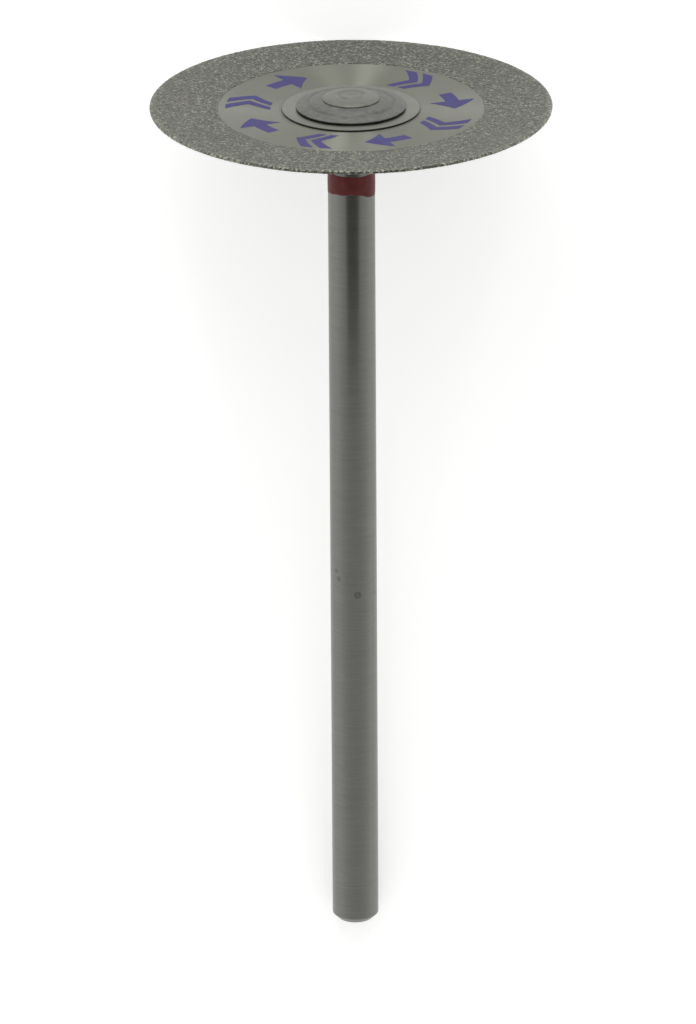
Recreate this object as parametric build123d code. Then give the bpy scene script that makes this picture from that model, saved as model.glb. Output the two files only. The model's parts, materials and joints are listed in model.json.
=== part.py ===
from build123d import *

import os
from math import atan2, degrees

# Dental diamond disc, permanently mounted on a straight handpiece mandrel. Millimetres.
#
# A thin dished steel blade carries electroplated diamond round its rim and on the outer
# part of both faces. Two washers and two turned flanges clamp the blade on the spigot of
# a 2.35 mm mandrel, and the end of the spigot is riveted over. A red ring on the shank
# tells the grit. Each piece is modelled round the tool's own axis, with z = 0 at the
# mandrel's shoulder and +Z towards the rivet head. The whole tool is then laid on a
# table, where it rests on the disc's rim and the end of the shank.

# Whole tool
overall_length = 44.5
disc_diameter = 20.0

# Mandrel
shank_diameter = 2.35
shank_end_chamfer = 0.3
spigot_diameter = 1.6
spigot_clearance = 0.02

# Rivet head, formed from the end of the spigot
rivet_head_diameter = 2.84
rivet_edge_height = 0.08
rivet_head_height = 0.21
dimple_diameter = 1.02
dimple_depth = 0.03
dimple_lip_depth = 0.01
dimple_groove_width = 0.24
dimple_groove_depth = 0.045

# Blade
blade_thickness = 0.12
dish_depth = 0.26
dish_start_margin = 0.05

# Diamond layer
grit_thickness = 0.05
grit_band_width = 3.43
rim_chamfer = 0.05

# Washers
washer_diameter = 6.86
washer_thickness = 0.10

# Flanges, one below and one above the blade
flange_diameter = 5.48
flange_height = 0.45
flange_relief_width = 0.25
flange_relief_height = 0.07
flange_land_height = 0.07
flange_slope_top_diameter = 4.52
flange_slope_top_height = 0.285
flange_groove_height = 0.25
flange_groove_width = 0.07
flange_shoulder_diameter = 4.10
flange_shoulder_height = 0.34
flange_top_diameter = 3.00

# Colour ring
ring_below_shoulder = 2.40
ring_width = 1.00
ring_thickness = 0.045
ring_groove_depth = 0.03

# Places along the tool's axis
lower_washer_z = flange_height
blade_z = lower_washer_z + washer_thickness
upper_washer_z = blade_z + blade_thickness
upper_flange_z = upper_washer_z + washer_thickness
rivet_z = upper_flange_z + flange_height
shank_end_z = rivet_z + rivet_head_height - overall_length
ring_z = -ring_below_shoulder - ring_width

# Radii shared by more than one piece
disc_radius = disc_diameter / 2
blade_radius = disc_radius - grit_thickness
grit_inner_radius = disc_radius - grit_band_width
flat_radius = washer_diameter / 2 + dish_start_margin
bore_radius = spigot_diameter / 2 + spigot_clearance


def dish_rise(radius):
    """How far the dish has risen at a radius outside the flat clamped part."""
    return dish_depth * (radius - flat_radius) / (disc_radius - flat_radius)


# The diamond layer's outermost edge, between its two chamfers
rim_bottom_z = blade_z + dish_depth - grit_thickness + rim_chamfer
rim_top_z = blade_z + dish_depth + blade_thickness + grit_thickness - rim_chamfer


def turned(*lines):
    """A solid turned round the tool's axis from a closed outline of radius and height."""
    return revolve(Plane.XZ * make_face(Curve() + list(lines)), Axis.Z)


def ring_of(inner_radius, outer_radius, bottom, height):
    """A plain turned ring with square edges."""
    top = bottom + height
    outline = Polyline(
        (inner_radius, bottom),
        (outer_radius, bottom),
        (outer_radius, top),
        (inner_radius, top),
        close=True,
    )
    return turned(outline)


def make_mandrel():
    """Shank with a chamfered end and ring groove, spigot and punched rivet head, in one."""
    shank_radius = shank_diameter / 2
    spigot_radius = spigot_diameter / 2
    head_radius = rivet_head_diameter / 2
    dimple_radius = dimple_diameter / 2
    ring_seat_radius = shank_radius - ring_groove_depth
    edge_z = rivet_z + rivet_edge_height
    head_z = rivet_z + rivet_head_height
    groove_middle = dimple_radius + dimple_groove_width / 2

    side = Polyline(
        (0, shank_end_z),
        (shank_radius - shank_end_chamfer, shank_end_z),
        (shank_radius, shank_end_z + shank_end_chamfer),
        (shank_radius, ring_z),
        (ring_seat_radius, ring_z),
        (ring_seat_radius, ring_z + ring_width),
        (shank_radius, ring_z + ring_width),
        (shank_radius, 0),
        (spigot_radius, 0),
        (spigot_radius, rivet_z),
        (head_radius, rivet_z),
        (head_radius, edge_z),
    )
    dome = TangentArc((dimple_radius + dimple_groove_width, head_z), side @ 1, tangent=(1, 0))
    groove = Polyline(
        dome @ 0,
        (groove_middle, head_z - dimple_groove_depth),
        (dimple_radius, head_z - dimple_lip_depth),
    )
    dimple = TangentArc((0, head_z - dimple_depth), groove @ 1, tangent=(1, 0))
    return turned(side, dome, groove, dimple, Line(dimple @ 0, side @ 0))


def make_flange():
    """Turned clamping flange with a grooved shoulder, its relieved clamping face at z = 0."""
    outer_radius = flange_diameter / 2
    shoulder_radius = flange_shoulder_diameter / 2
    top_radius = flange_top_diameter / 2
    land_z = flange_relief_height + flange_land_height

    lower = Polyline(
        (bore_radius, 0),
        (outer_radius - flange_relief_width, 0),
        (outer_radius, flange_relief_height),
        (outer_radius, land_z),
        (flange_slope_top_diameter / 2, flange_slope_top_height),
        (shoulder_radius + flange_groove_width, flange_groove_height),
        (shoulder_radius, flange_shoulder_height),
    )
    crown = TangentArc((top_radius, flange_height), lower @ 1, tangent=(1, 0))
    top = Polyline(crown @ 0, (bore_radius, flange_height), lower @ 0)
    return turned(lower, crown, top)


def make_blade():
    """Steel blade: flat where it is clamped, and a shallow dish out to the rim."""
    outer_bottom = blade_z + dish_rise(blade_radius)
    outline = Polyline(
        (bore_radius, blade_z),
        (flat_radius, blade_z),
        (blade_radius, outer_bottom),
        (blade_radius, outer_bottom + blade_thickness),
        (flat_radius, blade_z + blade_thickness),
        (bore_radius, blade_z + blade_thickness),
        close=True,
    )
    return turned(outline)


def make_diamond_layer():
    """Plated layer round the blade's rim and over the outer band of both faces."""
    blade_top = blade_z + blade_thickness
    outline = Polyline(
        (grit_inner_radius, blade_z + dish_rise(grit_inner_radius)),
        (grit_inner_radius, blade_z + dish_rise(grit_inner_radius) - grit_thickness),
        (disc_radius - rim_chamfer, blade_z + dish_rise(disc_radius - rim_chamfer) - grit_thickness),
        (disc_radius, rim_bottom_z),
        (disc_radius, rim_top_z),
        (disc_radius - rim_chamfer, blade_top + dish_rise(disc_radius - rim_chamfer) + grit_thickness),
        (grit_inner_radius, blade_top + dish_rise(grit_inner_radius) + grit_thickness),
        (grit_inner_radius, blade_top + dish_rise(grit_inner_radius)),
        (blade_radius, blade_top + dish_rise(blade_radius)),
        (blade_radius, blade_z + dish_rise(blade_radius)),
        close=True,
    )
    return turned(outline)


def resting_tilt():
    """Degrees that the axis rises from the table, with the rim and the shank's end on it.

    The table touches the lower edge of the rim and the upper edge of the end's chamfer.
    """
    across = disc_radius - shank_diameter / 2
    along = rim_bottom_z - (shank_end_z + shank_end_chamfer)
    return degrees(atan2(across, along))


def make_pieces():
    """Every piece of the tool by name, upright round the Z axis."""
    washer_radius = washer_diameter / 2
    ring_inner_radius = shank_diameter / 2 - ring_groove_depth
    return {
        "mandrel": make_mandrel(),
        "colour_ring": ring_of(ring_inner_radius, ring_inner_radius + ring_thickness, ring_z, ring_width),
        "lower_flange": Pos(0, 0, flange_height) * Rot(180, 0, 0) * make_flange(),
        "lower_washer": ring_of(bore_radius, washer_radius, lower_washer_z, washer_thickness),
        "blade": make_blade(),
        "diamond_layer": make_diamond_layer(),
        "upper_washer": ring_of(bore_radius, washer_radius, upper_washer_z, washer_thickness),
        "upper_flange": Pos(0, 0, upper_flange_z) * make_flange(),
    }


def lay_down(pieces):
    """Turn the tool to its rest, then centre it over the origin with the table at z = 0."""
    lying = {name: Rot(resting_tilt() - 90, 0, 0) * piece for name, piece in pieces.items()}
    box = Compound(list(lying.values())).bounding_box()
    to_rest = Pos(-box.center().X, -box.center().Y, -box.min.Z)
    return {name: to_rest * piece for name, piece in lying.items()}


os.makedirs("parts", exist_ok=True)
for name, piece in lay_down(make_pieces()).items():
    export_step(piece, f"parts/{name}.step")
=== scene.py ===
import json
from math import cos, pi, radians, sin

import bpy
import numpy as np
from mathutils import Matrix, Vector


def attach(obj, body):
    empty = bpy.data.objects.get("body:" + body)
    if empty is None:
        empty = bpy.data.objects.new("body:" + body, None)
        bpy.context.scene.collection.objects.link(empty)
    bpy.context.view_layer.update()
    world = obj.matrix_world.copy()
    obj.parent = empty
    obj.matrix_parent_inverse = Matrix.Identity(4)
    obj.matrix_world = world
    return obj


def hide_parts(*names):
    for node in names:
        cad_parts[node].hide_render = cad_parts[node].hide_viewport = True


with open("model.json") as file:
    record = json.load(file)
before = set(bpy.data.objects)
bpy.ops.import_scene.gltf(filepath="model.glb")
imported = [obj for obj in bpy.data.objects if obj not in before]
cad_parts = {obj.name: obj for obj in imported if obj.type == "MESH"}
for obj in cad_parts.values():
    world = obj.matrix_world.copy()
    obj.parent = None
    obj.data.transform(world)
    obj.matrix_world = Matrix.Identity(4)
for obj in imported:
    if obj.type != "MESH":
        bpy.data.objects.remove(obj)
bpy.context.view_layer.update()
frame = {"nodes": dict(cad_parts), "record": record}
print("frame loaded")

# Sizes are in millimetres, in the tool's own frame: z runs along the shank, from its
# shoulder under the disc towards the rivet head, and -y is the side that faces up. The
# floor's and the lamps' are in metres, in the row's frame.
mm = 0.001
tiny = 1e-9                 # lengths below it count as nothing
fullTurn = 2 * pi

shankMount = next(m for m in frame["record"]["mounts"] if m["name"] == "shank")
toolAxis = -Vector(shankMount["axis"]).normalized()
wallHalf = shankMount["dims"]["length_mm"] * mm / 2
shoulderPoint = Vector(shankMount["pos_m"]) + toolAxis * wallHalf
sideAxis = Vector((1, 0, 0))
toolTurn = Matrix((sideAxis, toolAxis.cross(sideAxis), toolAxis)).transposed()


def placeInRow(points):
    # row point = shoulder + turned tool point, for a whole array at once
    return points @ np.array(toolTurn).T * mm + np.array(shoulderPoint)


def measureNode(name):
    # radius and height of a CAD node's vertices in the tool frame
    co = np.zeros(len(frame["nodes"][name].data.vertices) * 3)
    frame["nodes"][name].data.vertices.foreach_get("co", co)
    local = (co.reshape(-1, 3) - np.array(shoulderPoint)) @ np.array(toolTurn) / mm
    radius = np.hypot(local[:, 0], local[:, 1])
    level = local[:, 2]
    return {"inner": radius.min(), "outer": radius.max(), "low": level.min(), "high": level.max()}


cad = {name: measureNode(name) for name in frame["nodes"]}


# Mesh tools

def roundCorners(corners, steps=5):
    # each corner (r, z, rounding) becomes an arc that is tangent to both of its sides
    count = len(corners)
    rows = []
    for i in range(count):
        here = np.array(corners[i][:2])
        size = corners[i][2]
        if size == 0:
            rows.append(here[None])
            continue
        back = np.array(corners[i - 1][:2]) - here
        ahead = np.array(corners[(i + 1) % count][:2]) - here
        back, ahead = back / np.linalg.norm(back), ahead / np.linalg.norm(ahead)
        half = np.arccos(np.clip(back @ ahead, -1, 1)) / 2
        middle = here + (back + ahead) / np.linalg.norm(back + ahead) * size / np.sin(half)
        start = here + back * size / np.tan(half) - middle
        end = here + ahead * size / np.tan(half) - middle
        swing = pi - 2 * half
        t = np.linspace(0, 1, steps)[:, None]
        rows.append(middle + (np.sin((1 - t) * swing) * start + np.sin(t * swing) * end) / np.sin(swing))
    return np.concatenate(rows)


def turnProfile(profile, columns):
    # point = (r cos a, r sin a, z) for each profile row and each angle a
    angle = np.arange(columns) * fullTurn / columns
    r, z = profile[:, 0][:, None], profile[:, 1][:, None]
    return np.stack([r * np.cos(angle), r * np.sin(angle), z + 0 * angle], axis=-1)


def gridMesh(name, points, closedRows=False, closedColumns=True, smoothAngle=35):
    # a quad for each cell of the grid; a row that shrinks to one point on the axis is a pole
    rows, columns = points.shape[:2]
    index = np.arange(rows * columns).reshape(rows, columns)
    if closedColumns:
        pole = np.ptp(points, axis=1).max(axis=1) < tiny
        index[pole] = index[pole][:, :1]
    rowEnd = rows if closedRows else rows - 1
    columnEnd = columns if closedColumns else columns - 1
    i, j = np.meshgrid(np.arange(rowEnd), np.arange(columnEnd), indexing="ij")
    nextI, nextJ = (i + 1) % rows, (j + 1) % columns
    corners = [index[i, j], index[i, nextJ], index[nextI, nextJ], index[nextI, j]]
    quads = np.stack(corners, axis=-1).reshape(-1, 4)

    step = np.linalg.norm(np.diff(points[:, 0], axis=0, append=points[:1, 0]), axis=-1)
    along = np.concatenate([[0], np.cumsum(step)])
    u = along[np.stack([i, i, i + 1, i + 1], axis=-1).reshape(-1, 4)]
    v = np.stack([j, j + 1, j + 1, j], axis=-1).reshape(-1, 4) / columnEnd

    keep = quads != np.roll(quads, -1, axis=1)
    used, loops = np.unique(quads[keep], return_inverse=True)
    sizes = keep.sum(axis=1)
    mesh = bpy.data.meshes.new(name)
    mesh.vertices.add(len(used))
    mesh.vertices.foreach_set("co", placeInRow(points.reshape(-1, 3)[used]).ravel())
    mesh.loops.add(len(loops))
    mesh.loops.foreach_set("vertex_index", loops.ravel())
    mesh.polygons.add(len(sizes))
    mesh.polygons.foreach_set("loop_start", np.concatenate([[0], np.cumsum(sizes)[:-1]]))
    mesh.polygons.foreach_set("use_smooth", np.ones(len(sizes), bool))
    uv = np.stack([u[keep], v[keep]], axis=-1)
    mesh.uv_layers.new(name="turned").data.foreach_set("uv", uv.ravel())
    mesh.update(calc_edges=True)
    mesh.validate()
    mesh.set_sharp_from_angle(angle=radians(smoothAngle))
    return mesh


def addPiece(name, mesh, material, nodes=()):
    # a piece of the tool, with its material, attached to the root body, hiding the nodes it stands in
    # for
    piece = bpy.data.objects.new(name, mesh)
    bpy.context.collection.objects.link(piece)
    mesh.materials.append(material)
    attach(piece, "root")
    if nodes:
        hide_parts(*nodes)
    return piece


# Material tools

def startMaterial(name, settings):
    # a Principled material whose plain sockets are set by name
    material = bpy.data.materials.new(name)
    material.use_nodes = True
    shader = material.node_tree.nodes["Principled BSDF"]
    for socket, value in settings.items():
        shader.inputs[socket].default_value = value
    return material, material.node_tree, shader


def addNode(tree, kind, settings=(), inputs=()):
    # inputs are linked if they are sockets and set if they are values
    node = tree.nodes.new(kind)
    for key, value in dict(settings).items():
        setattr(node, key, value)
    for key, value in dict(inputs).items():
        if isinstance(value, bpy.types.NodeSocket):
            tree.links.new(value, node.inputs[key])
        else:
            node.inputs[key].default_value = value
    return node


def maths(tree, operation, first, second):
    return addNode(tree, "ShaderNodeMath", {"operation": operation}, {0: first, 1: second}).outputs[0]


def vectorMaths(tree, operation, first, second=(0, 0, 0)):
    settings = {"operation": operation}
    return addNode(tree, "ShaderNodeVectorMath", settings, {0: first, 1: second}).outputs


def toolCoordinates(tree):
    # object coordinates turned so that z runs along the tool, in millimetres
    place = addNode(tree, "ShaderNodeTexCoord").outputs["Object"]
    centred = vectorMaths(tree, "SUBTRACT", place, shoulderPoint)[0]
    turned = {"Vector": centred, "Rotation": toolTurn.inverted().to_euler(), "Scale": (1 / mm,) * 3}
    return addNode(tree, "ShaderNodeMapping", {"vector_type": "POINT"}, turned).outputs[0]


def grey(level):
    return (level, level, level)


def scaled(colour, factor):
    return [channel * factor for channel in colour]


def ramp(tree, factor, stops):
    # a colour ramp from (place, colour) pairs
    node = addNode(tree, "ShaderNodeValToRGB", inputs={"Fac": factor})
    elements = node.color_ramp.elements
    while len(elements) < len(stops):
        elements.new(0.5)
    for element, (place, colour) in zip(elements, stops):
        element.position = place
        element.color = (*colour, 1)
    return node.outputs["Color"]


def blend(tree, share, first, second):
    # a mix of two plain numbers
    inputs = {0: share, 2: first, 3: second}
    return addNode(tree, "ShaderNodeMix", {"data_type": "FLOAT"}, inputs).outputs[0]


def tint(tree, share, first, second):
    # a mix of two colours
    inputs = {0: share, 6: first, 7: second}
    return addNode(tree, "ShaderNodeMix", {"data_type": "RGBA"}, inputs).outputs[2]


def noise(tree, vector, scale, detail=3, roughness=0.5):
    values = {"Vector": vector, "Scale": scale, "Detail": detail, "Roughness": roughness}
    return addNode(tree, "ShaderNodeTexNoise", inputs=values).outputs["Fac"]


def cellPattern(tree, vector, scale):
    values = {"Vector": vector, "Scale": scale}
    return addNode(tree, "ShaderNodeTexVoronoi", {"feature": "F1"}, values).outputs


def addBump(tree, shader, height, strength, depth, invert=False):
    # dents in the surface, their depth in millimetres
    values = {"Height": height, "Strength": strength, "Distance": depth * mm}
    bump = addNode(tree, "ShaderNodeBump", {"invert": invert}, values)
    tree.links.new(bump.outputs[0], shader.inputs["Normal"])


def toolRadius(tree, place):
    # how far a point lies from the tool's axis
    flat = vectorMaths(tree, "MULTIPLY", place, (1, 1, 0))[0]
    return vectorMaths(tree, "LENGTH", flat)["Value"]


wearAndEdgeShade = {
    "speckCore": 0.4,       # share of a speck's size that is darkest
    "speckFade": 0.02,
    "sunkTone": 0.55,       # of specks and pits, against the steel round them
    "paintedShadeFrom": 0.03,       # painted shade starts to darken the steel this far inside a rim
    "paintedShadeTo": 0.01,
    "pitTones": [(0.1, grey(0.7)), (0.45, grey(0.2)), (0.75, grey(1))],    # outwards
}


def turnedLines(tree, place, look):
    # noise that changes fast outwards and along the tool, and slowly round it
    along, around = look["linesAlong"], look["linesAround"]
    split = addNode(tree, "ShaderNodeSeparateXYZ", inputs={0: place}).outputs
    vector = addNode(tree, "ShaderNodeCombineXYZ", inputs={
        0: maths(tree, "MULTIPLY", toolRadius(tree, place), along),
        1: maths(tree, "MULTIPLY", split["Z"], along),
        2: maths(tree, "MULTIPLY", split["X"], around),
    }).outputs[0]
    fourth = maths(tree, "MULTIPLY", split["Y"], around)
    values = {"Vector": vector, "W": fourth, "Scale": 1, "Detail": 3}
    return addNode(tree, "ShaderNodeTexNoise", {"noise_dimensions": "4D"}, values).outputs["Fac"]


def specks(tree, place, look):
    # 0 inside small dots that stand in a few of the cells, 1 elsewhere
    size, share = look["speckSize"], look["speckShare"]
    cells = cellPattern(tree, place, look["speckScale"])
    dot = ramp(tree, cells["Distance"], [(size * wearAndEdgeShade["speckCore"], grey(0)), (size, grey(1))])
    stops = [(1 - share, grey(1)), (1 + wearAndEdgeShade["speckFade"] - share, grey(0))]
    chosen = ramp(tree, cells["Color"], stops)
    return maths(tree, "MAXIMUM", dot, chosen)


def pit(tree, place, centre, size):
    # a small ring, darkest at its size, that clears towards its middle and outside
    away = vectorMaths(tree, "DISTANCE", place, centre)["Value"]
    return ramp(tree, maths(tree, "MULTIPLY", away, 0.5 / size), wearAndEdgeShade["pitTones"])


def turnedMetal(name, look, pits=()):
    # metal with fine turning marks, cloudy patches and a highlight drawn out across the marks, and
    # painted shade just inside a rim where one is given
    material, tree, shader = startMaterial(name, {"Metallic": 1, "Anisotropic": look["anisotropic"]})
    place = toolCoordinates(tree)
    cloud = noise(tree, place, look["cloudScale"], 4, 0.6)
    mixed = blend(tree, look["cloudShare"], turnedLines(tree, place, look), cloud)
    dark, light = [scaled(look["colour"], 1 + sign * look["contrast"]) for sign in (-1, 1)]
    worn = specks(tree, place, look)
    for centre, size in pits:
        worn = maths(tree, "MINIMUM", worn, pit(tree, place, centre, size))
    sunk = (*scaled(look["colour"], wearAndEdgeShade["sunkTone"]), 1)
    colour = tint(tree, worn, sunk, ramp(tree, mixed, [(0.3, dark), (0.7, light)]))
    # painted shade: a band just inside the given rim is coloured darker
    if "paintedShadeRadius" in look:
        starts, ends = look["paintedShadeRadius"] - wearAndEdgeShade["paintedShadeFrom"], look["paintedShadeRadius"] - wearAndEdgeShade["paintedShadeTo"]
        limits = {0: toolRadius(tree, place), 1: starts, 2: ends}
        onEdge = addNode(tree, "ShaderNodeMapRange", inputs=limits).outputs[0]
        colour = tint(tree, onEdge, colour, (*scaled(look["colour"], look["paintedShadeTone"]), 1))
    tree.links.new(colour, shader.inputs["Base Color"])
    smooth, dull = look["roughness"]
    roughness = ramp(tree, cloud, [(0.3, grey(smooth)), (0.7, grey(dull))])
    tree.links.new(roughness, shader.inputs["Roughness"])
    addBump(tree, shader, maths(tree, "ADD", mixed, worn), look["bump"], look["bumpHeight"])
    tangent = addNode(tree, "ShaderNodeTangent", {"direction_type": "UV_MAP", "uv_map": "turned"})
    tree.links.new(tangent.outputs[0], shader.inputs["Tangent"])
    return material


# Mandrel

shank = {
    "radius": shankMount["dims"]["r_mm"],
    "endChamfer": 0.3,
    "edgeRounding": 0.06,
    "columns": 160,
    "pits": [
        ((0.2, -1.16, -24.85), 0.15),
        ((-0.76, -0.9, -24.05), 0.1),
        ((-0.86, -0.8, -23.65), 0.09),
        ((1.06, -0.51, -24.96), 0.07),
    ],
}
shankMetal = {
    "colour": (0.18, 0.184, 0.168), "anisotropic": 0.6, "linesAround": 0.8, "linesAlong": 15,
    "cloudScale": 0.9, "cloudShare": 0.3, "contrast": 0.1, "roughness": (0.3, 0.36),
    "bump": 0.2, "bumpHeight": 0.003, "speckScale": 1.1, "speckSize": 0.07, "speckShare": 0.2,
}


def makeShank():
    # straight lines from the end face to the shoulder, turned round the axis
    r, low, edge = shank["radius"], cad["mandrel"]["low"], shank["edgeRounding"]
    outline = roundCorners([
        (0, low, 0),
        (r - shank["endChamfer"], low, edge),
        (r, low + shank["endChamfer"], edge),
        (r, 0, edge),
        (0, 0, 0),
    ])
    mesh = gridMesh("shank", turnProfile(outline, shank["columns"]))
    material = turnedMetal("ground shank steel", shankMetal, shank["pits"])
    addPiece("shank", mesh, material, ["mandrel"])


rivet = {
    "spigotRadius": 0.8,
    "headRadius": 1.42,
    "edgeHeight": 0.08,
    "edgeRounding": 0.03,
    "bendRadius": 0.75,     # the head bends down outside it
    "dimpleRadius": 0.5,
    "grooveRadius": 0.62,
    "grooveWidth": 0.08,
    "grooveDepth": 0.055,
    "dimpleDepth": 0.02,
    "rows": 60,
    "columns": 140,
}
rivetMetal = {
    "colour": (0.19, 0.193, 0.171), "anisotropic": 0.3, "linesAround": 2, "linesAlong": 9,
    "cloudScale": 3.2, "cloudShare": 0.6, "contrast": 0.22, "roughness": (0.36, 0.5),
    "bump": 0.4, "bumpHeight": 0.008, "speckScale": 2.5, "speckSize": 0.12, "speckShare": 0.2,
}


def makeRivet():
    # flat, then a parabola down to the rounded edge, less a bell-shaped groove and a slightly
    # hollow centre
    bottom, top = cad["upper_flange"]["high"], cad["mandrel"]["high"]
    spigot, head, bendStart = rivet["spigotRadius"], rivet["headRadius"], rivet["bendRadius"]
    r = head * np.cos(np.linspace(0, pi / 2, rivet["rows"]))
    bend = np.maximum(r - bendStart, 0) / (head - bendStart)
    z = top - (top - bottom - rivet["edgeHeight"]) * bend ** 2
    z = z - rivet["edgeRounding"] * np.exp((r - head) / rivet["edgeRounding"])
    groove = rivet["grooveDepth"] * np.exp(-((r - rivet["grooveRadius"]) / rivet["grooveWidth"]) ** 2)
    hollow = rivet["dimpleDepth"] * np.clip(1 - (r / rivet["dimpleRadius"]) ** 2, 0, 1)
    dome = np.stack([r, z - groove - hollow], axis=-1)
    dome[-1, 0] = 0
    base = np.array([(0, 0), (spigot, 0), (spigot, bottom), (head, bottom)])
    mesh = gridMesh("rivetHead", turnProfile(np.concatenate([base, dome]), rivet["columns"]))
    material = turnedMetal("riveted steel", rivetMetal)
    addPiece("rivetHead", mesh, material, ["mandrel"])


makeShank()
makeRivet()
print("mandrel made")


# Colour ring

ring = {
    "proud": 0.015,
    "bite": 0.01,           # the sleeve's two ends start this far inside the shank
    "backBite": 0.02,       # and its hidden back lies this far inside
    "fullness": 0.25,       # the lower it is, the steeper the ends
    "drop": 0.05,           # the whole band sits a little lower than in the solids
    "sideDrop": 0.26,       # the lower edge hangs lower at the two sides
    "lowTilt": 0.08,        # and lower on the right than on the left
    "topDrop": 0.04,
    "edgeWave": 0.025,
    "lowWaves": [(1, 5, 2.1), (0.6, 11, 1)],        # share, waves round the shank and phase
    "highWaves": [(1, 3, 2.6), (0.5, 7, 0.3)],
    "rows": 13,
    "columns": 180,
}


def wander(angle, waves):
    # a sum of sines round the shank
    return ring["edgeWave"] * sum(share * np.sin(angle * count + phase) for share, count, phase in waves)


def makeRing():
    # a thin sleeve whose two edges wander, with its rows crowded at the ends
    angle = np.arange(ring["columns"]) * fullTurn / ring["columns"]
    low, high = cad["colour_ring"]["low"] - ring["drop"], cad["colour_ring"]["high"] - ring["drop"]
    lowWave = wander(angle, ring["lowWaves"])
    lowWave = lowWave - ring["sideDrop"] * np.cos(angle) ** 2 - ring["lowTilt"] * np.cos(angle)
    highWave = wander(angle, ring["highWaves"])
    highWave = highWave - ring["topDrop"] * np.cos(angle) ** 2
    r, back = shank["radius"], shank["radius"] - ring["backBite"]
    t = 0.5 - 0.5 * np.cos(pi * np.linspace(0, 1, ring["rows"]))
    swell = (ring["proud"] + ring["bite"]) * np.sin(pi * t) ** ring["fullness"]
    radius = np.concatenate([r - ring["bite"] + swell, [back, back]])[:, None]
    share = np.concatenate([t, [1, 0]])[:, None]
    z = (low + lowWave) * (1 - share) + (high + highWave) * share
    points = np.stack([radius * np.cos(angle), radius * np.sin(angle), z], axis=-1)
    return gridMesh("colourRing", points, closedRows=True)


def makeLacquer():
    material, tree, shader = startMaterial("red lacquer", {"Roughness": 0.45, "Specular IOR Level": 0.2})
    cloud = noise(tree, toolCoordinates(tree), 3, 4)
    colour = ramp(tree, cloud, [(0.35, (0.096, 0.014, 0.013)), (0.7, (0.13, 0.02, 0.018))])
    tree.links.new(colour, shader.inputs["Base Color"])
    addBump(tree, shader, cloud, 0.3, 0.02)
    return material


addPiece("colourRing", makeRing(), makeLacquer(), ["colour_ring"])
print("colour ring made")


# Flanges and washers

flange = {
    "landRadius": 2.49,
    "reliefHeight": 0.07,
    "landHeight": 0.07,
    "shoulderRadius": 2.05,
    "shoulderHeight": 0.34,
    "stepWidth": 0.07,
    "stepDepth": 0.09,
    "slopeEnd": 2.26,
    "slopeEndHeight": 0.285,
    "topRadius": 1.5,
    "edgeRounding": 0.03,
    "slopeRounding": 0.1,   # at the slope's end and round the crown
    "burrAngle": 90.8,      # a small burr on the upper flange's far edge
    "burrWidth": 1.6,
    "burrHeight": 0.06,
    "columns": 320,
}
flangeMetal = {
    "colour": (0.173, 0.176, 0.161), "anisotropic": 0.2, "linesAround": 2, "linesAlong": 7,
    "cloudScale": 3.4, "cloudShare": 0.7, "contrast": 0.34, "roughness": (0.46, 0.6),
    "bump": 0.5, "bumpHeight": 0.01, "speckScale": 2.5, "speckSize": 0.12, "speckShare": 0.25,
}
washer = {"edgeRounding": 0.03, "columns": 160}
washerMetal = {
    "colour": (0.188, 0.191, 0.166), "anisotropic": 0.5, "linesAround": 1, "linesAlong": 14,
    "cloudScale": 1.2, "cloudShare": 0.5, "contrast": 0.06, "roughness": (0.32, 0.42),
    "bump": 0.2, "bumpHeight": 0.004, "speckScale": 1.5, "speckSize": 0.08, "speckShare": 0.15,
    "paintedShadeRadius": cad["upper_washer"]["outer"], "paintedShadeTone": 0.25,   # painted shade: the washer's sheared rim is coloured dark
}


def flangeOutline(base, up):
    # clamping face, relieved edge, slope, small step and crown, upwards or turned over
    bore, outer = cad["upper_flange"]["inner"], cad["upper_flange"]["outer"]
    height = cad["upper_flange"]["high"] - cad["upper_flange"]["low"]
    edge = flange["edgeRounding"]
    foot = flange["shoulderHeight"] - flange["stepDepth"]
    outline = roundCorners([
        (bore, 0, 0),
        (flange["landRadius"], 0, edge),
        (outer, flange["reliefHeight"], edge),
        (outer, flange["reliefHeight"] + flange["landHeight"], edge),
        (flange["slopeEnd"], flange["slopeEndHeight"], flange["slopeRounding"]),
        (flange["shoulderRadius"] + flange["stepWidth"], foot, edge),
        (flange["shoulderRadius"], flange["shoulderHeight"], edge),
        (flange["topRadius"], height, flange["slopeRounding"]),
        (bore, height, 0),
    ])
    outline[:, 1] = base + up * outline[:, 1]
    return outline if up > 0 else outline[::-1]


def washerOutline(size):
    # a rectangle from the bore to the rim, rounded at the rim
    edge = washer["edgeRounding"]
    return roundCorners([
        (size["inner"], size["low"], 0),
        (size["outer"], size["low"], edge),
        (size["outer"], size["high"], edge),
        (size["inner"], size["high"], 0),
    ])


def raiseBurr(points):
    # the outer rows swell outwards and upwards by a bell curve of the angle
    angle = np.arange(flange["columns"]) * 360 / flange["columns"]
    swell = flange["burrHeight"] * np.exp(-((angle - flange["burrAngle"]) / flange["burrWidth"]) ** 2)
    radius = np.hypot(points[..., 0], points[..., 1])
    onEdge = np.clip((radius - flange["landRadius"]) / (radius.max() - flange["landRadius"]), 0, 1)
    points[..., :2] *= (1 + onEdge * swell / radius)[..., None]
    points[..., 2] += onEdge * swell
    return points


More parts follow.
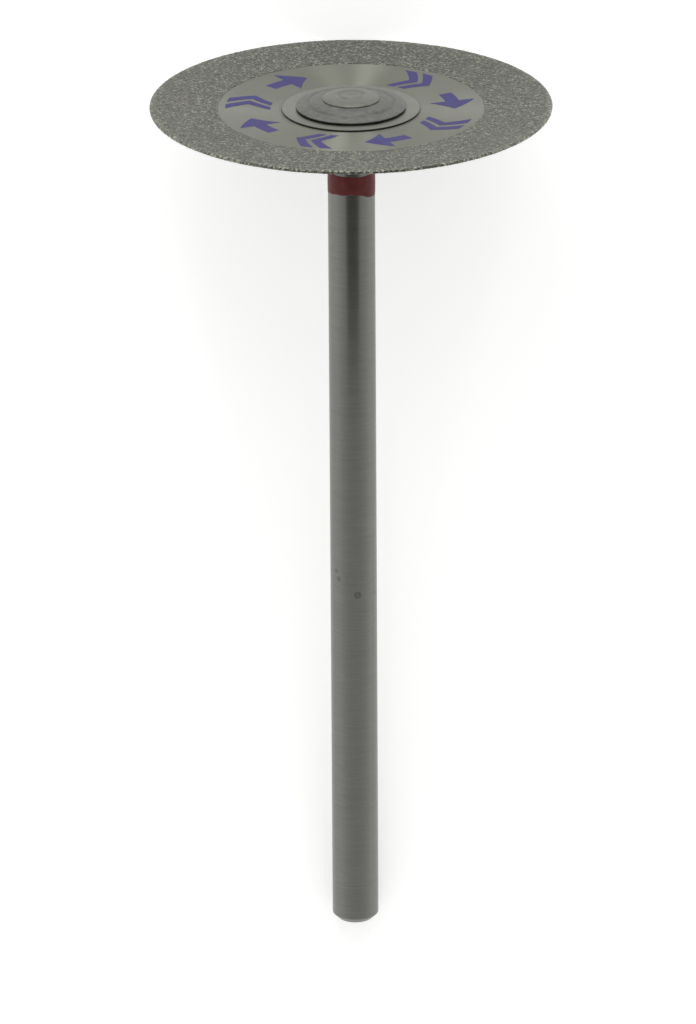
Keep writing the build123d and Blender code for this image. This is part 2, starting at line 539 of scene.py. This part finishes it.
flangeMaterial = turnedMetal("tumbled flange steel", flangeMetal)
washerMaterial = turnedMetal("satin washer steel", washerMetal)
seats = {"upper": (cad["upper_flange"]["low"], 1), "lower": (cad["lower_flange"]["high"], -1)}
for side, (base, up) in seats.items():
    flangePoints = turnProfile(flangeOutline(base, up), flange["columns"])
    if up > 0:
        flangePoints = raiseBurr(flangePoints)
    flangeMesh = gridMesh(side + "Flange", flangePoints, closedRows=True)
    addPiece(side + "Flange", flangeMesh, flangeMaterial, [side + "_flange"])
    washerPoints = turnProfile(washerOutline(cad[side + "_washer"]), washer["columns"])
    washerMesh = gridMesh(side + "Washer", washerPoints, closedRows=True)
    addPiece(side + "Washer", washerMesh, washerMaterial, [side + "_washer"])
print("flanges and washers made")


# Blade

blade = {
    "flatMargin": 0.05,     # from the washer's rim to the start of the dish
    "rings": (5, 6.5, 8),   # radii of the rows between there and the rim
    "columns": 240,
}
bladeMetal = {
    "colour": (0.229, 0.232, 0.196), "anisotropic": 1.0, "linesAround": 0.5, "linesAlong": 24,
    "cloudScale": 0.8, "cloudShare": 0.3, "contrast": 0.06, "roughness": (0.4, 0.46),
    "bump": 0.15, "bumpHeight": 0.003, "speckScale": 1.0, "speckSize": 0.05, "speckShare": 0.1,
}
bladeThickness = cad["upper_washer"]["low"] - cad["lower_washer"]["high"]
bladeBottom = cad["blade"]["low"]
flatRadius = cad["upper_washer"]["outer"] + blade["flatMargin"]
bladeRise = cad["blade"]["high"] - cad["blade"]["low"] - bladeThickness
dishSlope = bladeRise / (cad["blade"]["outer"] - flatRadius)


def dishHeight(radius):
    # flat where it is clamped, then a straight rise towards the rim
    return bladeBottom + dishSlope * np.maximum(radius - flatRadius, 0)


def makeBlade():
    # the underside outwards, then the top back to the bore, turned round the axis
    inner, outer = cad["blade"]["inner"], cad["blade"]["outer"]
    r = np.array([inner, flatRadius, *blade["rings"], outer])
    under = np.stack([r, dishHeight(r)], axis=-1)
    over = under[::-1] + (0, bladeThickness)
    points = turnProfile(np.concatenate([under, over]), blade["columns"])
    return gridMesh("blade", points, closedRows=True)


bladeMaterial = turnedMetal("lathe brushed blade steel", bladeMetal)
addPiece("blade", makeBlade(), bladeMaterial, ["blade"])
print("blade made")


# Diamond layer

grit = {
    "pitch": 0.11,          # between grains
    "relief": 0.032,        # how far the tallest grains stand out of the plating
    "edgeSlope": 0.07,      # over which it thins out at its inner edges
    "edgeWander": 0.05,     # how far those edges stray from a true circle
    "wanderReach": 0.4,     # over which the straying dies away outwards
    "edgeFilm": 0.003,      # thickness left at the inner edges
    "rimReach": 0.1,        # of the rim's own piece onto each face
    "faceShift": 200,       # in pitches, so that the two faces differ
    "rimRounding": 0.07,
    "rimBlend": 0.25,       # over which the grains of a face give way to those of the rim
    "rimPaintedLight": 0.22,       # painted light: the rim's grains are coloured a little lighter
    "columns": 1650,
    "faceRows": 57,
    "underRows": 57,
    "rimRows": 12,
    "seed": 7,
}
grain = {
    "margin": 0.15,         # from a cell's side to where a grain's middle may lie, in pitches
    "spread": 0.7,
    "smallest": 0.35,       # height of the smallest grain, in shares of the relief
    "sizeSpread": 0.65,
    "topShare": 0.62,       # of the height, where the point is cut off
    "topTilt": 0.5,
    "sideSlope": 1.25,
    "cornerSlope": 0.35,
}
scatter = {"i": 127.1, "j": 311.7, "channel": 74.7, "stretch": 43758.5453}
layerInner, layerOuter = cad["diamond_layer"]["inner"], cad["diamond_layer"]["outer"]
layerThickness = layerOuter - cad["blade"]["outer"]


def cellNoise(i, j, channel):
    # a repeatable number from 0 to 1 for each whole-numbered cell: the end digits of a large sine
    place = i * scatter["i"] + j * scatter["j"] + (channel + grit["seed"]) * scatter["channel"]
    mixed = np.sin(place) * scatter["stretch"]
    return mixed - np.floor(mixed)


def grains(x, y):
    # height = the highest of the nine nearest grains, each a turned pyramid with a tilted flat top
    cellX, cellY = np.floor(x), np.floor(y)
    best, tone = np.zeros_like(x), np.zeros_like(x)
    for dx in (-1, 0, 1):
        for dy in (-1, 0, 1):
            i, j = cellX + dx, cellY + dy
            px = x - i - grain["margin"] - grain["spread"] * cellNoise(i, j, 0)
            py = y - j - grain["margin"] - grain["spread"] * cellNoise(i, j, 1)
            spin = cellNoise(i, j, 2) * pi
            a = np.abs(px * np.cos(spin) + py * np.sin(spin))
            b = np.abs(py * np.cos(spin) - px * np.sin(spin))
            size = grain["smallest"] + grain["sizeSpread"] * cellNoise(i, j, 3)
            tiltX = grain["topTilt"] * px * (cellNoise(i, j, 4) - 0.5)
            tiltY = grain["topTilt"] * py * (cellNoise(i, j, 5) - 0.5)
            flatTop = size * grain["topShare"] + tiltX + tiltY
            sides = size - grain["sideSlope"] * np.maximum(a, b)
            height = np.minimum(sides - grain["cornerSlope"] * np.minimum(a, b), flatTop)
            higher = height > best
            tone = np.where(higher, cellNoise(i, j, 6), tone)
            best = np.where(higher, height, best)
    return best, tone


def layerSection():
    # the coated outline from the underside's inner edge, round the rim, to the top's inner edge
    under = lambda r: dishHeight(r) - layerThickness + grit["relief"]
    over = lambda r: dishHeight(r) + bladeThickness + layerThickness - grit["relief"]
    edge, slopeEnd = layerOuter - grit["relief"], layerInner + grit["edgeSlope"]
    outline = roundCorners([
        (layerInner, dishHeight(layerInner) - grit["edgeFilm"], 0),
        (slopeEnd, under(slopeEnd), 0),
        (edge, under(edge), grit["rimRounding"]),
        (edge, over(edge), grit["rimRounding"]),
        (slopeEnd, over(slopeEnd), 0),
        (layerInner, dishHeight(layerInner) + bladeThickness + grit["edgeFilm"], 0),
    ], 9)
    reach = np.concatenate([[0], np.cumsum(np.linalg.norm(np.diff(outline, axis=0), axis=-1))])
    return outline, reach


def makeGrit(name, start, end, rows):
    # the section between two reaches, turned round the tool, raised along its normal by the
    # grains and closed at the steel
    pitch = grit["pitch"]
    outline, reach = layerSection()
    t = np.linspace(start, end, rows)
    r, z = np.interp(t, reach, outline[:, 0]), np.interp(t, reach, outline[:, 1])
    shift = 1e-3
    alongR = np.interp(t + shift, reach, outline[:, 0]) - np.interp(t - shift, reach, outline[:, 0])
    alongZ = np.interp(t + shift, reach, outline[:, 1]) - np.interp(t - shift, reach, outline[:, 1])
    size = np.hypot(alongR, alongZ)
    normalR, normalZ = alongZ / size, -alongR / size
    angle = np.arange(grit["columns"]) * fullTurn / grit["columns"]
    column = lambda values: values[:, None] + 0 * angle
    faceX, faceY = column(r) * np.cos(angle), column(r) * np.sin(angle)
    middle = reach[-1] / 2
    shifted = grit["faceShift"] * (column(t) > middle)
    faceHeight, faceTone = grains(faceX / pitch + shifted, faceY / pitch)
    rimHeight, rimTone = grains(layerOuter * angle / pitch + column(0 * t), column(t) / pitch)
    fromRim = (np.abs(column(t) - middle) - layerThickness - bladeThickness / 2) / grit["rimBlend"]
    onRim = 1 - np.clip(fromRim, 0, 1)
    height = faceHeight * (1 - onRim) + rimHeight * onRim
    tone = np.where(onRim > 0.5, rimTone, faceTone)
    fade = np.clip((column(r) - layerInner) / grit["edgeSlope"], 0, 1) ** 0.5
    raised = grit["relief"] * height * fade
    radius, level = column(r) + raised * column(normalR), column(z) + raised * column(normalZ)
    cells = layerInner * angle / pitch
    whole, part = np.floor(cells), cells % 1
    stray = cellNoise(whole, 0, 7) * (1 - part) + cellNoise(whole + 1, 0, 7) * part
    nearInner = 1 - np.clip((column(r) - layerInner) / grit["wanderReach"], 0, 1)
    radius = radius + grit["edgeWander"] * nearInner * stray
    footRadius = np.minimum(r[[-1, 0]], cad["blade"]["outer"])
    footLevel = dishHeight(footRadius) + bladeThickness * (t[[-1, 0]] > middle)
    radius = np.concatenate([radius, column(footRadius)])
    level = np.concatenate([level, column(footLevel)])
    radius[-2:] += grit["edgeWander"] * stray * (footRadius < layerInner + tiny)[:, None]
    points = np.stack([radius * np.cos(angle), radius * np.sin(angle), level], axis=-1)
    mesh = gridMesh(name, points, closedRows=True, smoothAngle=180)
    # the colour attribute carries the grains' height plus painted light on the rim
    for key, values in (("grainTone", tone), ("grainHeightAndRimLight", height + grit["rimPaintedLight"] * onRim)):
        full = np.concatenate([values, values[[-1, 0]]]).astype(np.float32)
        mesh.attributes.new(key, "FLOAT", "POINT").data.foreach_set("value", full.ravel())
    return mesh


plating = {
    "heightShadeShare": 0.7, "toneShare": 0.45, "speckShare": 0.4, "speckScale": 9,
    "cellScale": 14, "cellBump": 0.5, "cellDepth": 0.03, "roughness": (0.25, 0.6),
    "tones": [
        (0.2, (0.042, 0.043, 0.035)),
        (0.5, (0.107, 0.109, 0.09)),
        (0.8, (0.22, 0.223, 0.183)),
        (1.0, (0.41, 0.41, 0.34)),
    ],
}


def makeDiamondPlating():
    # painted shade: the lower the surface between the grains, the darker its colour; each grain also has
    # its own brightness and polish
    material, tree, shader = startMaterial("diamond plating", {"Metallic": 0.8})
    place = toolCoordinates(tree)
    height, tone = [
        addNode(tree, "ShaderNodeAttribute", {"attribute_name": key}).outputs["Fac"]
        for key in ("grainHeightAndRimLight", "grainTone")
    ]
    speck = noise(tree, place, plating["speckScale"], 3, 0.7)
    # painted shade by height, with painted light on the rim, plus each grain's own tone and specks
    mixed = maths(tree, "MULTIPLY", height, plating["heightShadeShare"])
    for value, share in ((tone, "toneShare"), (speck, "speckShare")):
        mixed = maths(tree, "ADD", mixed, maths(tree, "MULTIPLY", value, plating[share]))
    tree.links.new(ramp(tree, mixed, plating["tones"]), shader.inputs["Base Color"])
    polished, dull = plating["roughness"]
    roughness = ramp(tree, tone, [(0.0, grey(polished)), (1.0, grey(dull))])
    tree.links.new(roughness, shader.inputs["Roughness"])
    cells = cellPattern(tree, place, plating["cellScale"])["Distance"]
    addBump(tree, shader, cells, plating["cellBump"], plating["cellDepth"], invert=True)
    return material


diamondPlating = makeDiamondPlating()
sectionLength = layerSection()[1][-1]
rimHalf = layerThickness + bladeThickness / 2 + grit["rimReach"]
faceLength = sectionLength / 2 - rimHalf
gritParts = {
    "gritUnderside": (0, faceLength, grit["underRows"]),
    "gritRim": (faceLength, faceLength + 2 * rimHalf, grit["rimRows"]),
    "gritTopOuter": (faceLength + 2 * rimHalf, sectionLength - faceLength / 2, grit["faceRows"]),
    "gritTopInner": (sectionLength - faceLength / 2, sectionLength, grit["faceRows"]),
}
for name, (start, end, rows) in gritParts.items():
    addPiece(name, makeGrit(name, start, end, rows), diamondPlating, ["diamond_layer"])
print("diamond layer made")


# Printed marks

marks = {
    "count": 8,
    "firstAngle": 38,       # from the far side, clockwise as seen from the hub
    "lastAngle": 322,
    "middleRadius": 5.12,
    "halfHeight": 1.12,
    "lift": 0.002,
    "thickness": 0.003,
    "rows": 25,
    "chevronAhead": 4,      # this and the next four are degrees round the disc
    "chevronBend": 8.5,
    "chevronHalfWidth": 2.9,
    "chevronSpacing": 4.5,
    "arrowLength": 13,
    "arrowTaper": 0.99,     # a little blunt at its two corners
    "shaftHalfWidth": 0.34,
}


def inkSurface(angleDegrees, radius):
    # points on the blade's face, a hair above the steel; angles count from the far side
    a = pi / 2 - np.radians(angleDegrees)
    height = dishHeight(radius) + bladeThickness + marks["lift"]
    return np.stack([radius * np.cos(a), radius * np.sin(a), height], axis=-1)


def chevron(centre):
    # a bent bar: it steps back in angle as it leaves the middle radius
    t, side = np.meshgrid(np.linspace(-1, 1, marks["rows"]), np.array([-1.0, 1.0]), indexing="ij")
    angle = centre + marks["chevronAhead"] - marks["chevronBend"] * np.abs(t)
    angle = angle + side * marks["chevronHalfWidth"]
    return inkSurface(angle, marks["middleRadius"] + t * marks["halfHeight"])


def arrowHead(centre):
    # a triangle whose length shrinks to nothing away from the middle radius
    t, share = np.meshgrid(np.linspace(-1, 1, marks["rows"]), np.linspace(0, 1, 6), indexing="ij")
    angle = centre + marks["arrowLength"] * share * (1 - np.abs(t) * marks["arrowTaper"])
    return inkSurface(angle, marks["middleRadius"] + t * marks["halfHeight"])


def arrowShaft(centre):
    # a band that follows the circle behind the arrow head
    behind, half = np.linspace(-marks["arrowLength"], 0, 12), marks["shaftHalfWidth"]
    angle, side = np.meshgrid(behind, np.linspace(-half, half, 3), indexing="ij")
    return inkSurface(centre + angle, marks["middleRadius"] + side)


def joinMeshes(name, meshes):
    # one mesh from several
    parts = [bpy.data.objects.new(m.name, m) for m in meshes]
    for part in parts:
        bpy.context.collection.objects.link(part)
    with bpy.context.temp_override(active_object=parts[0], selected_editable_objects=parts):
        bpy.ops.object.join()
    joined = parts[0].data
    joined.name = name
    joined.shade_flat()
    bpy.data.objects.remove(parts[0])
    return joined


def makeInk():
    material, tree, shader = startMaterial("violet ink", {"Roughness": 0.5, "Specular IOR Level": 0.18})
    place = toolCoordinates(tree)
    cloud = noise(tree, place, 1.3, 4, 0.6)
    colour = ramp(tree, cloud, [
        (0.35, (0.054, 0.035, 0.165)),
        (0.6, (0.044, 0.044, 0.178)),
        (0.72, (0.046, 0.08, 0.205)),
    ])
    tree.links.new(colour, shader.inputs["Base Color"])
    return material


markAngles = np.linspace(marks["firstAngle"], marks["lastAngle"], marks["count"])
inkMeshes = []
for number, centre in enumerate(markAngles):
    grids = [chevron(centre + side * marks["chevronSpacing"]) for side in (-1, 1)]
    if number % 2:
        grids = [arrowHead(centre), arrowShaft(centre)]
    inkMeshes += [gridMesh(f"ink{number}", grid, closedColumns=False) for grid in grids]
inkMesh = joinMeshes("rotationMarks", inkMeshes)
rotationMarks = addPiece("rotationMarks", inkMesh, makeInk())
filmDepth = rotationMarks.modifiers.new("film", "SOLIDIFY")
filmDepth.thickness = marks["thickness"] * mm
filmDepth.offset = 1
print("printed marks made")


# Floor, lights and camera

studio = {
    "floorHalf": 3.0,
    "floorColour": (0.82, 0.82, 0.81),
    "floorRoughness": 0.9,
    "floorGlow": 0.43,      # seen by the camera and in mirrors; it lights nothing
    "horizonLevel": 1.08,
    "middleLevel": 0.8,
    "zenithLevel": 0.64,
    "levelTilt": 0.12,      # the right side is a little darker than the left
    "flagAway": 20 * mm,    # the dark card's distance from the shank
    "flagWidths": (13 * mm, 9 * mm),    # either side of its middle, at its two ends
    "flagShift": 2 * mm,
    "flagRise": 57,         # degrees, where the shank's middle line mirrors the camera
    "flagStart": 10,        # along the tool, in millimetres
    "flagEnd": -8,
    "flagTone": 0.22,
    "lampTarget": (0, 0.02, 0.01),
    "lampSize": (0.02, 0.6),
}
lamps = {
    "leftStrip": {"place": (-0.09, 0.5, 0.3), "power": 0.5},
    "rightStrip": {"place": (0.13, 0.5, 0.3), "power": 0.3},
}


def makeFloor():
    # a plain square at the height that the tool rests on
    half = studio["floorHalf"]
    mesh = bpy.data.meshes.new("floor")
    corners = [(-half, -half, 0), (half, -half, 0), (half, half, 0), (-half, half, 0)]
    mesh.from_pydata(corners, [], [(0, 1, 2, 3)])
    floor = bpy.data.objects.new("floor", mesh)
    bpy.context.collection.objects.link(floor)
    look = {"Base Color": (*studio["floorColour"], 1), "Roughness": studio["floorRoughness"]}
    material, tree, shader = startMaterial("pale floor", look)
    path = addNode(tree, "ShaderNodeLightPath").outputs
    seen = maths(tree, "MAXIMUM", path["Is Camera Ray"], path["Is Glossy Ray"])
    seen = maths(tree, "MAXIMUM", seen, path["Is Transmission Ray"])
    shader.inputs["Emission Color"].default_value = (1, 1, 1, 1)
    glow = maths(tree, "MULTIPLY", seen, studio["floorGlow"])
    tree.links.new(glow, shader.inputs["Emission Strength"])
    mesh.materials.append(material)


def makeWorld():
    # a soft grey surround, lightest at the horizon
    world = bpy.data.worlds.new("studio")
    bpy.context.scene.world = world
    world.use_nodes = True
    tree = world.node_tree
    direction = addNode(tree, "ShaderNodeTexCoord").outputs["Generated"]
    height = vectorMaths(tree, "DOT_PRODUCT", direction, (studio["levelTilt"], 0, 1))["Value"]
    level = ramp(tree, height, [
        (0.05, grey(studio["horizonLevel"])),
        (0.5, grey(studio["middleLevel"])),
        (0.85, grey(studio["zenithLevel"])),
    ])
    tree.links.new(level, tree.nodes["Background"].inputs["Color"])


def makeFlag():
    # a dark card beside the disc that only mirror-like surfaces see: it draws the shank's dark line
    rise = radians(studio["flagRise"])
    away = Vector((0, -cos(rise), sin(rise))) * studio["flagAway"] + sideAxis * studio["flagShift"]
    upperSide, lowerSide = [sideAxis * width for width in studio["flagWidths"]]
    ends = [shoulderPoint + toolAxis * studio[key] * mm + away for key in ("flagStart", "flagEnd")]
    mesh = bpy.data.meshes.new("flag")
    corners = [ends[0] - upperSide, ends[0] + upperSide, ends[1] + lowerSide, ends[1] - lowerSide]
    mesh.from_pydata(corners, [], [(0, 1, 2, 3)])
    look = {"Base Color": (*grey(studio["flagTone"]), 1), "Specular IOR Level": 0}
    mesh.materials.append(startMaterial("flag", look)[0])
    flag = bpy.data.objects.new("flag", mesh)
    bpy.context.collection.objects.link(flag)
    flag.visible_camera = flag.visible_diffuse = flag.visible_shadow = False


def addLamp(name, place, power):
    # a long strip light that faces the tool
    light = bpy.data.lights.new(name, "AREA")
    light.shape = "RECTANGLE"
    light.size, light.size_y = studio["lampSize"]
    light.energy = power
    lamp = bpy.data.objects.new(name, light)
    aim = Vector(studio["lampTarget"]) - Vector(place)
    lamp.location = place
    lamp.rotation_euler = aim.to_track_quat("-Z", "Y").to_euler()
    bpy.context.collection.objects.link(lamp)


camera = {
    "distance": 450.0,          # from the middle of the rim
    "aboveDisc": 19.13,         # degrees between the sight line and the disc's plane
    "aimBelow": 2.563,          # the aim passes below the disc's middle, in degrees
    "turn": -0.036,
    "roll": -0.342,
    "focalPixels": 9079,
    "imageHeight": 1024,
    "sensor": 36.0,
    "clip": (0.01, 20),         # metres
}
rimMiddle = dishHeight(layerOuter) + bladeThickness / 2


def makeCamera():
    # the camera stands on the tool's -y side and looks down over the disc along the shank
    rise = radians(camera["aboveDisc"])
    dip = rise + radians(camera["aimBelow"])
    turn, roll = radians(camera["turn"]), radians(camera["roll"])
    place = np.array([0, -camera["distance"] * cos(rise), camera["distance"] * sin(rise) + rimMiddle])
    ahead = Vector((sin(turn) * cos(dip), cos(turn) * cos(dip), -sin(dip)))
    right = Vector((cos(turn), -sin(turn), 0))
    up = right.cross(ahead)
    rolledRight = right * cos(roll) + up * sin(roll)
    rolledUp = up * cos(roll) - right * sin(roll)
    data = bpy.data.cameras.new("camera")
    data.sensor_width = camera["sensor"]
    data.lens = camera["sensor"] * camera["focalPixels"] / camera["imageHeight"]
    data.clip_start, data.clip_end = camera["clip"]
    body = bpy.data.objects.new("camera", data)
    facing = toolTurn @ Matrix((rolledRight, rolledUp, -ahead)).transposed()
    body.matrix_world = Matrix.Translation(Vector(placeInRow(place))) @ facing.to_4x4()
    bpy.context.collection.objects.link(body)
    bpy.context.scene.camera = body


makeFloor()
makeWorld()
makeFlag()
for name, lamp in lamps.items():
    addLamp(name, lamp["place"], lamp["power"])
makeCamera()
bpy.context.scene.view_settings.view_transform = "Standard"
print("studio made")
